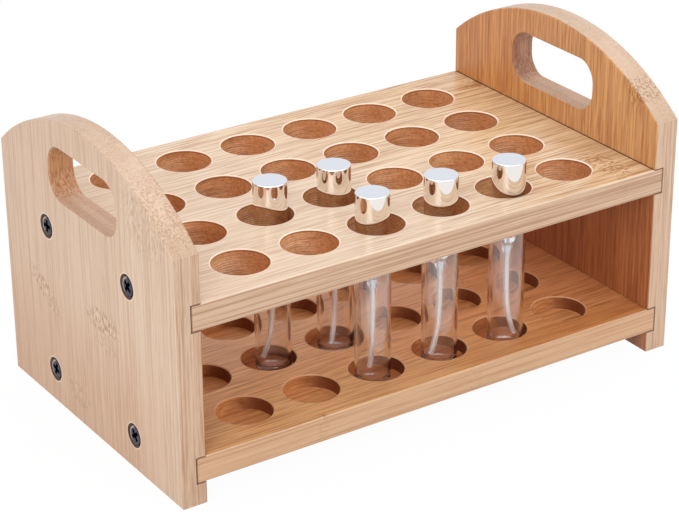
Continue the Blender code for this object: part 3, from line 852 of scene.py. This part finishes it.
# Marks of the stems' nodes: along, across, length, width, slant, strength, maybe an end
upper_marks = (
    (0.1035, -0.058, 0.018, 0.036, -0.1, 0.75),
    (0.1140, 0.055, 0.014, 0.018, 0.0, 0.6),
    (0.0998, -0.076, 0.006, 0.010, 0.0, 0.4),
)
lower_marks = (
    (-0.060, -0.076, 0.006, 0.009, 0.0, 0.6),
    (0.020, -0.076, 0.007, 0.009, 0.0, 0.4),
    (0.066, 0.000, 0.008, 0.018, 0.0, 0.3),
)
side_marks = (
    (0.0540, 0.041, 0.012, 0.034, 0.50, 0.75),
    (0.0600, -0.013, 0.014, 0.034, 0.0, 0.8),
    (0.0500, -0.015, 0.010, 0.022, 0.0, 0.4),
    (0.0140, 0.014, 0.013, 0.026, 0.10, 0.4),
    (0.1290, -0.061, 0.030, 0.016, 0.0, 0.7, 1),
    (0.1230, -0.054, 0.040, 0.046, 0.0, 0.4, -1),
)
slot_marks = ((0.1090, 0.0255, 0.015, 0.018, 0.0, 0.5),)

board_tones = (srgb(234, 214, 191), srgb(220, 193, 165), srgb(182, 143, 110))
lower_tones = (srgb(238, 208, 175), srgb(224, 188, 150), srgb(176, 128, 88))
side_tones = (srgb(238, 214, 190), srgb(230, 203, 178), srgb(206, 170, 140))
shelf_wood = bamboo(
    "shelf_bamboo", "X", board_tones, shelf_low.z + PLY_OFFSET, upper_marks, 0.25, shade_upper,
    grain=BOARD_GRAIN, contrast=0.8,
)
lower_wood = bamboo(
    "lower_shelf_bamboo", "X", lower_tones, lower_low.z + PLY_OFFSET, lower_marks, 0.33,
    shade_lower, grain=BOARD_GRAIN, contrast=0.6,
)
side_wood = bamboo("side_bamboo", "Z", side_tones, side_inner, side_marks, 0.40, shade_side)
hole_tones = (srgb(230, 176, 125), srgb(216, 159, 109), srgb(188, 129, 84))
shelf_cut = bamboo("shelf_bamboo_cut", "X", hole_tones, shelf_low.z, (), 0.5, shade_hole, 0.25)
seat_tones = (srgb(232, 171, 112), srgb(219, 153, 97), srgb(189, 122, 72))
seat_cut = bamboo("seat_bamboo_cut", "X", seat_tones, lower_low.z, (), 0.5, shade_seat, 0.4)
slot_tones = (srgb(212, 180, 155), srgb(202, 167, 140), srgb(178, 136, 107))
side_cut = bamboo("side_bamboo_cut", "Z", slot_tones, side_inner, slot_marks, 0.5, shade_slot)
# The countersinks' walls are painted dark as the shade in them
countersink_shade_tones = (srgb(112, 78, 58), srgb(90, 60, 44), srgb(66, 42, 32))
countersink_wood = bamboo("countersink_bamboo", "Z", countersink_shade_tones, side_inner, (), 0.6)


def shelf(name, node, wood, slot, seat_depth=None):
    """A shelf with its long edges eased, and its holes or seats cut with eased rims."""
    low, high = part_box(node)
    outline = []
    for sign_y, sign_z in ((1, 1), (-1, 1), (-1, -1), (1, -1)):
        for angle in quarter if sign_y * sign_z > 0 else reversed(quarter):
            y = sign_y * (depth / 2 - EDGE_EASE + EDGE_EASE * math.cos(angle))
            z = EDGE_EASE - EDGE_EASE * math.sin(angle)
            outline.append((y, high.z - z if sign_z > 0 else low.z + z))
    bm = bmesh.new()
    add_stack(bm, [(low.x, outline), (high.x, outline)])
    board = add_object(name, finish_mesh(bm, name), wood)
    radius = HOLE_DIAMETER / 2
    flare = radius + RIM_EASE
    below = low.z - OVERRUN
    above = high.z + OVERRUN
    profile = [(0, below), (flare, below), (flare, low.z), (radius, low.z + RIM_EASE)]
    if seat_depth:
        floor = high.z - seat_depth
        profile = [(0, floor), (radius, floor, SEAT_FILLET)]
    profile += [(radius, high.z - RIM_EASE), (flare, high.z), (flare, above), (0, above)]
    bm = bmesh.new()
    for x in column_x:
        for y in row_y:
            add_turned(bm, profile, ROUND_SIDES, Matrix.Translation((x, y, 0)))
    cut(board, bm, seat_cut if seat_depth else shelf_cut)
    even_normals(board)
    assign(board, rack, node, slot)


def arch_outline(inset):
    """The side seen from its end, drawn in by the inset all round."""
    half = depth / 2
    radius = (half**2 + ARCH_RISE**2) / (2 * ARCH_RISE)
    centre = side_high.z - radius
    half -= inset
    radius -= inset
    spread = math.asin(half / radius)
    points = [(-half, side_low.z + inset), (half, side_low.z + inset)]
    for i in range(ARC_STEPS + 1):
        angle = spread - 2 * spread * i / ARC_STEPS
        points.append((radius * math.sin(angle), centre + radius * math.cos(angle)))
    return points


def slot_outline(outset):
    """The hand slot seen from the side's end, widened by the outset all round."""
    a = SLOT_LENGTH / 2 - SLOT_CORNER
    b = SLOT_HEIGHT / 2 - SLOT_CORNER
    radius = SLOT_CORNER + outset
    middle = shelf_high.z + SLOT_RISE + SLOT_HEIGHT / 2
    points = []
    for corner, (sign_a, sign_b) in enumerate(((1, 1), (-1, 1), (-1, -1), (1, -1))):
        for i in range(CORNER_STEPS + 1):
            angle = math.pi / 2 * (corner + i / CORNER_STEPS)
            z = middle + sign_b * b + radius * math.sin(angle)
            points.append((sign_a * a + radius * math.cos(angle), z))
    return points


def eased(low, high, outline, advance):
    """A stack of outlines from low to high, with the edges at both of its ends eased."""
    steps = [(EDGE_EASE * advance(a), outline(EDGE_EASE * (1 - math.sin(a)))) for a in quarter]
    far = [(high - x, points) for x, points in reversed(steps)]
    return [(low + x, points) for x, points in steps] + far


def turned_in(end):
    """Turns Z to point into the rack from its left (-1) or right (+1) end."""
    return Matrix.Rotation(-end * math.pi / 2, 4, "Y")


def side(name, node, end):
    low, high = sorted((end * side_inner, end * side_outer))
    bm = bmesh.new()
    add_stack(bm, eased(low, high, arch_outline, lambda angle: 1 - math.cos(angle)))
    panel = add_object(name, finish_mesh(bm, name), side_wood)

    bm = bmesh.new()
    first, last = ((x, slot_outline(EDGE_EASE)) for x in (low - OVERRUN, high + OVERRUN))
    add_stack(bm, [first, *eased(low, high, slot_outline, math.sin), last])
    cut(panel, bm, side_cut)

    bm = bmesh.new()
    reach = depth / 2 + OVERRUN
    ends = sorted((end * (side_inner - OVERRUN), end * (side_inner + GROOVE_DEPTH)))
    for board_low, board_high in ((lower_low, lower_high), (shelf_low, shelf_high)):
        bottom = board_low.z - WOOD_GAP
        top = board_high.z + WOOD_GAP
        corners = [(-reach, bottom), (reach, bottom), (reach, top), (-reach, top)]
        add_stack(bm, [(x, corners) for x in ends])
    cut(panel, bm, side_cut)

    bm = bmesh.new()
    shank = SCREW_SHANK_DIAMETER / 2 + WOOD_GAP
    through = SIDE_THICKNESS + OVERRUN
    for screw_node in screw_nodes:
        middle, _, head = screw_measures(screw_node)
        if middle.x * end < 0:
            continue
        head += COUNTERSINK_CLEARANCE
        mouth = head + SCREW_SINK
        profile = [(0, -OVERRUN), (mouth, -OVERRUN), (mouth, 0), (head, SCREW_SINK)]
        profile += [(shank, mouth - shank), (shank, through), (0, through)]
        matrix = Matrix.Translation((end * side_outer, middle.y, middle.z)) @ turned_in(end)
        add_turned(bm, profile, PIECE_SIDES, matrix)
    # The countersinks take the wood with painted shade
    cut(panel, bm, countersink_wood)
    even_normals(panel)
    assign(panel, rack, node, "side_bamboo")


def screw(node):
    """A countersunk screw with a cross recess, where its node is."""
    middle, length, head = screw_measures(node)
    end = 1 if middle.x > 0 else -1
    shank = SCREW_SHANK_DIAMETER / 2
    profile = [(0, 0), (head, 0, SCREW_EDGE)]
    profile += [(shank, head - shank), (shank, length - head), (0, length)]
    name = node + "_piece"
    piece = add_object(name, turned_mesh(name, profile), black_steel)
    a = SCREW_CROSS_SPAN / 2
    b = SCREW_CROSS_WIDTH / 2
    outline = []
    for arm in range(4):
        turn = Matrix.Rotation(math.pi / 2 * arm + math.radians(screw_turns[node]), 2)
        outline += [turn @ Vector(corner) for corner in ((a, -b), (a, b), (b, b))]
    levels = ((-OVERRUN, 1), (0, 1), (SCREW_CROSS_DEPTH, SCREW_CROSS_FLOOR_SHARE))
    bm = bmesh.new()
    add_solid(bm, [[bm.verts.new((*p * share, z)) for p in outline] for z, share in levels])
    cut(piece, bm, recess_shade_steel)
    even_normals(piece)
    piece.data.transform(turned_in(end))
    piece.location = (end * (side_outer - SCREW_SINK), middle.y, middle.z)
    assign(piece, rack, node, "black_screw_steel")


black_steel = screw_steel("black_screw_steel", srgb(52, 48, 62), srgb(186, 170, 160))
# The cross recess is painted near black, darker than the head, as the shade in it
recess_shade_steel = plain("black_screw_recess", srgb(12, 11, 13), 0.6, metallic=1.0, grain=0.1)
glass_tone = srgb(253, 253, 254)
clear_glass = plain(
    "clear_glass", glass_tone, 0.0, transmission=1.0, ior=1.3, wave=0.03, coat=0.5
)
glass_floor = plain("clear_glass_floor", glass_tone, 0.0, transmission=1.0, ior=1.25)
silver_tone = srgb(240, 240, 243)
silver = plain("polished_aluminium", silver_tone, 0.05, metallic=1.0, grain=0.04)
# The caps' warm side colour is a painted reflection
cap_silver = drawn_silver(
    "polished_cap", silver_tone, srgb(239, 234, 229), 0.03, CAP_TILT, CAP_TOP_LEAN
)
white_plastic = plain("white_plastic", srgb(238, 238, 236), 0.3, grain=0.1)
clear_plastic = plain(
    "frosted_plastic", srgb(244, 247, 250), 0.02, transmission=0.97, ior=1.5, coat=0.6
)
milky_plastic = plain(
    "milky_plastic", srgb(250, 251, 253), 0.05, transmission=0.82, ior=1.45, wave=0.02, coat=0.8
)
gasket_rubber = plain("gasket_rubber", srgb(210, 210, 207), 0.6, grain=0.1)
spring_steel = plain("spring_steel", srgb(190, 190, 192), 0.25, metallic=1.0, grain=0.1)

shelf("upper_board", "upper_shelf", shelf_wood, "shelf_bamboo")
shelf("lower_board", "lower_shelf", lower_wood, "lower_shelf_bamboo", SEAT_DEPTH)
side("left_panel", "left_side", -1)
side("right_panel", "right_side", 1)
for rack_screw in screw_nodes:
    screw(rack_screw)


# Pieces of a vial


def box_size(node):
    low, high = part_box(node)
    return (high.x - low.x) / 2, high.z - low.z


def glass_profile(radius, height, neck_radius):
    neck_bore = neck_radius - NECK_WALL
    bore = radius - VIAL_WALL
    slope = VIAL_BODY_HEIGHT - VIAL_SHOULDER
    return [
        (0, VIAL_PUNT),
        (radius - VIAL_CORNER, 0, VIAL_WALL),
        (radius, 0, VIAL_CORNER * 0.6),
        (radius, slope, VIAL_SHOULDER / 2),
        (neck_radius, VIAL_BODY_HEIGHT, VIAL_WALL / 4),
        (neck_radius, height, VIAL_WALL / 4),
        (neck_bore, height, VIAL_WALL / 4),
        (neck_bore, VIAL_BODY_HEIGHT - VIAL_WALL / 2, VIAL_WALL / 4),
        (bore, slope - VIAL_WALL / 2, VIAL_WALL / 2),
        (bore, VIAL_FLOOR, VIAL_CORNER),
        (0, VIAL_FLOOR),
    ]


def cap_profile(radius, height):
    bore = radius - CAP_WALL
    return [
        (0, height),
        (radius, height, CAP_EDGE),
        (radius, 0, CAP_WALL / 4),
        (bore, 0, CAP_WALL / 4),
        (bore, height - CAP_ROOF, CAP_EDGE),
        (0, height - CAP_ROOF),
    ]


def collar_profile(radius, height, neck_radius):
    bore = neck_radius + FIT_GAP
    skirt = bore + COLLAR_WALL
    hole = STEM_DIAMETER / 2 + FIT_GAP
    return [
        (radius, 0, COLLAR_RIM / 4),
        (radius, COLLAR_RIM, COLLAR_RIM / 4),
        (skirt, COLLAR_RIM, COLLAR_RIM / 4),
        (skirt, height, COLLAR_RIM / 2),
        (hole, height, COLLAR_RIM / 4),
        (hole, height - COLLAR_TOP),
        (bore, height - COLLAR_TOP),
        (bore, 0),
    ]


def gasket_profile(radius, height):
    inner = BARREL_DIAMETER / 2 + FIT_GAP
    return [(radius, 0), (radius, height), (inner, height), (inner, 0)]


def pump_profile(radius, height):
    """Heights are from the nozzle's tip."""
    flange = height - PUMP_FLANGE
    bore = BARREL_DIAMETER / 2 - BARREL_WALL
    barrel = BARREL_DIAMETER / 2
    base = flange - BARREL_LENGTH
    floor = base + BARREL_FLOOR
    socket = TUBE_DIAMETER / 2 + FIT_GAP
    nozzle = NOZZLE_DIAMETER / 2
    return [
        (radius, flange),
        (radius, height),
        (bore, height),
        (bore, floor, BARREL_WALL / 2),
        (VALVE_BORE / 2, floor),
        (VALVE_BORE / 2, NOZZLE_SOCKET),
        (socket, NOZZLE_SOCKET),
        (socket, 0),
        (socket + NOZZLE_LIP, 0, NOZZLE_LIP / 2),
        (nozzle, NOZZLE_TIP, NOZZLE_LIP),
        (nozzle, base - BARREL_CONE, NOZZLE_LIP),
        (barrel, base, BARREL_WALL / 2),
        (barrel, flange),
    ]


def stem_profile(height):
    stem = STEM_DIAMETER / 2
    bore = STEM_BORE / 2
    piston = PISTON_DIAMETER / 2
    profile = [(piston, 0), (piston, PISTON_LENGTH), (stem, PISTON_LENGTH)]
    return profile + [(stem, height), (bore, height), (bore, 0)]


def button_profile(radius, height):
    socket = STEM_DIAMETER / 2 + FIT_GAP
    return [
        (0, height - BUTTON_DISH),
        (radius * 0.55, height - BUTTON_DISH * 0.75, BUTTON_EDGE),
        (radius - BUTTON_EDGE, height, BUTTON_EDGE / 4),
        (radius, height - BUTTON_EDGE, BUTTON_EDGE / 2),
        (radius, 0, BUTTON_EDGE / 4),
        (socket, 0),
        (socket, BUTTON_SOCKET),
        (0, BUTTON_SOCKET),
    ]


def swept_tube(name, path, outer, inner, sides):
    """A tube along a path of points, hollow if it has an inner radius."""
    bm = bmesh.new()
    walls = [(outer, [])] + ([(inner, [])] if inner else [])
    side_way = None
    for i, point in enumerate(path):
        along = (path[min(i + 1, len(path) - 1)] - path[max(i - 1, 0)]).normalized()
        if side_way is None:
            side_way = along.orthogonal().normalized()
        side_way = (side_way - side_way.dot(along) * along).normalized()
        other = along.cross(side_way)
        for radius, rings in walls:
            ring = []
            for k in range(sides):
                angle = 2 * math.pi * k / sides
                offset = side_way * math.cos(angle) + other * math.sin(angle)
                ring.append(bm.verts.new(point + radius * offset))
            rings.append(ring)
    for _, rings in walls:
        for first, second in zip(rings, rings[1:]):
            join_rings(bm, first, second)
    for end in (0, -1):
        last = [rings[end] for _, rings in walls]
        if inner:
            join_rings(bm, *last)
        else:
            bm.faces.new(*last)
    return finish_mesh(bm, name)


def dip_tube_mesh(name, height, lean):
    """Heights are from the tube's lower end. The tube curls away from the axis as it goes down."""
    reach = TUBE_REACH_SHARE * (vial_radius - VIAL_WALL)
    radius = TUBE_DIAMETER / 2
    run = height - radius
    straight = NOZZLE_SOCKET / run
    way = Vector((math.cos(math.radians(lean)), math.sin(math.radians(lean)), 0))
    path = []
    for i in range(TUBE_STEPS + 1):
        share = i / TUBE_STEPS
        bent = max(0.0, (share - straight) / (1 - straight))
        path.append(way * reach * bent**TUBE_CURL_POWER + Vector((0, 0, height - run * share)))
    return swept_tube(name, path, radius, TUBE_BORE / 2, TUBE_SIDES)


def spring_mesh(name, radius, height):
    """A coil whose turns lie closer together at both ends."""
    steps = SPRING_TURNS * SPRING_TURN_STEPS
    wire = SPRING_WIRE / 2
    coil = radius - wire
    path = []
    for i in range(steps + 1):
        round_once = 2 * math.pi * i / steps
        angle = round_once * SPRING_TURNS
        share = i / steps - SPRING_CLOSED_ENDS * math.sin(round_once) / (2 * math.pi)
        rise = wire + (height - SPRING_WIRE) * share
        path.append(Vector((coil * math.cos(angle), coil * math.sin(angle), rise)))
    return swept_tube(name, path, wire, 0, SPRING_SIDES)


vial_radius = box_size("glass_vial_1")[0]


def vial(number, lean):
    low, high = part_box(f"glass_vial_{number}")
    axis = (low + high) / 2
    vial_body = f"vial_{number}"
    pump = f"pump_{number}"
    neck_radius = vial_radius - VIAL_SHOULDER

    def sized(kind):
        return box_size(f"{kind}_{number}")

    def place(kind, mesh, material, body, slot):
        node = f"{kind}_{number}"
        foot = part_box(node)[0].z
        obj = add_object(f"{node}_piece", mesh, material, (axis.x, axis.y, foot))
        if material in (clear_glass, clear_plastic, milky_plastic):
            obj.visible_shadow = False
            obj.visible_diffuse = False
        assign(obj, body, node, slot)
        return obj

    profile = glass_profile(*sized("glass_vial"), neck_radius)
    mesh = turned_mesh("glass", profile, ROUND_SIDES)
    glass = place("glass_vial", mesh, clear_glass, vial_body, "clear_glass")
    glass.data.materials.append(glass_floor)
    for polygon in glass.data.polygons:
        if polygon.center.z < VIAL_FLOOR + VIAL_CORNER / 2:
            polygon.material_index = 1
    mesh = turned_mesh("cap", cap_profile(*sized("cap")), ROUND_SIDES)
    place("cap", mesh, cap_silver, f"cap_{number}", "polished_aluminium")
    mesh = turned_mesh("collar", collar_profile(*sized("collar"), neck_radius))
    place("collar", mesh, silver, vial_body, "polished_aluminium")
    mesh = turned_mesh("gasket", gasket_profile(*sized("neck_gasket")))
    place("neck_gasket", mesh, gasket_rubber, vial_body, "gasket_rubber")
    mesh = turned_mesh("pump_body", pump_profile(*sized("pump_body")))
    place("pump_body", mesh, clear_plastic, vial_body, "frosted_plastic")
    mesh = turned_mesh("stem", stem_profile(sized("pump_stem")[1]), SMALL_SIDES)
    place("pump_stem", mesh, white_plastic, pump, "white_plastic")
    mesh = turned_mesh("button", button_profile(*sized("spray_button")))
    place("spray_button", mesh, white_plastic, pump, "white_plastic")
    mesh = dip_tube_mesh("dip_tube", sized("dip_tube")[1], lean)
    place("dip_tube", mesh, milky_plastic, vial_body, "frosted_plastic")

    low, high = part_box(f"pump_spring_{number}")
    height = high.z - low.z
    mesh = spring_mesh("spring", (high.y - low.y) / 2, height)
    spring = place("pump_spring", mesh, spring_steel, vial_body, "spring_steel")
    press = f"button_{number}_press"
    travel = next(joint["range_m"][1] for joint in frame["joints"] if joint["name"] == press)
    1 - travel / height
    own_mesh(spring)


for vial_number, vial_lean in enumerate(TUBE_LEANS, 1):
    vial(vial_number, vial_lean)


# Floor, light and camera


def seen_directly(w):
    """Is this ray the camera's own, or one that a mirror or glass passes on?"""
    ray = w.node("ShaderNodeLightPath")
    by_camera = w.wire(ray, "Is Camera Ray")
    seen = w.math("MAXIMUM", by_camera, w.wire(ray, "Is Glossy Ray"))
    return w.math("MAXIMUM", seen, w.wire(ray, "Is Transmission Ray")), by_camera


def floor():
    """A white floor that keeps a faint shadow where it is seen."""
    w = Surface("floor_white")
    w.set("Base Color", (FLOOR_BOUNCE, FLOOR_BOUNCE, FLOOR_BOUNCE, 1))
    w.set("Roughness", 0.9)
    w.set("Specular IOR Level", 0)
    white = w.wire(w.node("ShaderNodeBsdfDiffuse", {"Color": FLOOR_WHITE}))
    glow = w.wire(w.node("ShaderNodeEmission", {"Strength": 1.0}))
    shown = w.mix_shaders(FLOOR_GLOW_SHARE, white, glow)
    mixed = w.mix_shaders(seen_directly(w)[0], w.wire(w.shader), shown)
    w.feed(w.tree.nodes["Material Output"], {"Surface": mixed})
    bm = bmesh.new()
    corners = ((-1, -1), (1, -1), (1, 1), (-1, 1))
    bm.faces.new([bm.verts.new((x * FLOOR_REACH, y * FLOOR_REACH, 0)) for x, y in corners])
    mesh = bpy.data.meshes.new("floor")
    bm.to_mesh(mesh)
    bm.free()
    add_object("floor", mesh, w.material)


def sky():
    """Soft light from all round, more from above, in front of a white background."""
    world = bpy.data.worlds.new("studio")
    bpy.context.scene.world = world
    world.use_nodes = True
    w = Wiring(world.node_tree)
    strength = w.smooth(w.coordinates("Generated")[2], -0.1, 0.8, SKY_LOW, SKY_HIGH)
    light = w.tree.nodes["Background"]
    w.feed(light, {"Color": WHITE, "Strength": strength})
    seen, by_camera = seen_directly(w)
    cool = w.wire(w.node("ShaderNodeBackground", {"Color": SKY_MIRRORED}))
    white = w.wire(w.node("ShaderNodeBackground", {"Color": WHITE}))
    shown = w.mix_shaders(by_camera, cool, white)
    chosen = w.mix_shaders(seen, w.wire(light), shown)
    w.feed(w.tree.nodes["World Output"], {"Surface": chosen})


def lamp(name, place, target, size, power, mirrored=True):
    light = bpy.data.lights.new(name, "AREA")
    light.shape = "DISK"
    light.size = size
    light.energy = power
    obj = linked(name, light, place)
    obj.rotation_euler = (Vector(target) - Vector(place)).to_track_quat("-Z", "Y").to_euler()
    obj.visible_glossy = mirrored
    obj.visible_transmission = mirrored


def camera():
    data = bpy.data.cameras.new("camera")
    data.sensor_width = CAMERA_SENSOR
    data.lens = CAMERA_LENS
    data.clip_start = CAMERA_NEAR
    obj = linked("camera", data)
    turn = Matrix.Rotation(math.radians(-CAMERA_AZIMUTH), 4, "Z")
    tilt = Matrix.Rotation(math.radians(90 - CAMERA_ELEVATION), 4, "X")
    roll = Matrix.Rotation(math.radians(CAMERA_ROLL), 4, "Z")
    obj.matrix_world = Matrix.Translation(CAMERA_PLACE) @ turn @ tilt @ roll
    bpy.context.scene.camera = obj


floor()
sky()
lamp("key", (-1.3, -1.0, 1.3), (0, 0, 0.06), 1.2, 12)
lamp("top", (0.3, 0.4, 1.6), (0, 0, 0.08), 1.4, 9)
lamp("front", (0.5, -1.3, 0.35), (0, 0, 0.05), 0.8, 5, mirrored=False)
camera()
bpy.context.scene.view_settings.view_transform = "Standard"
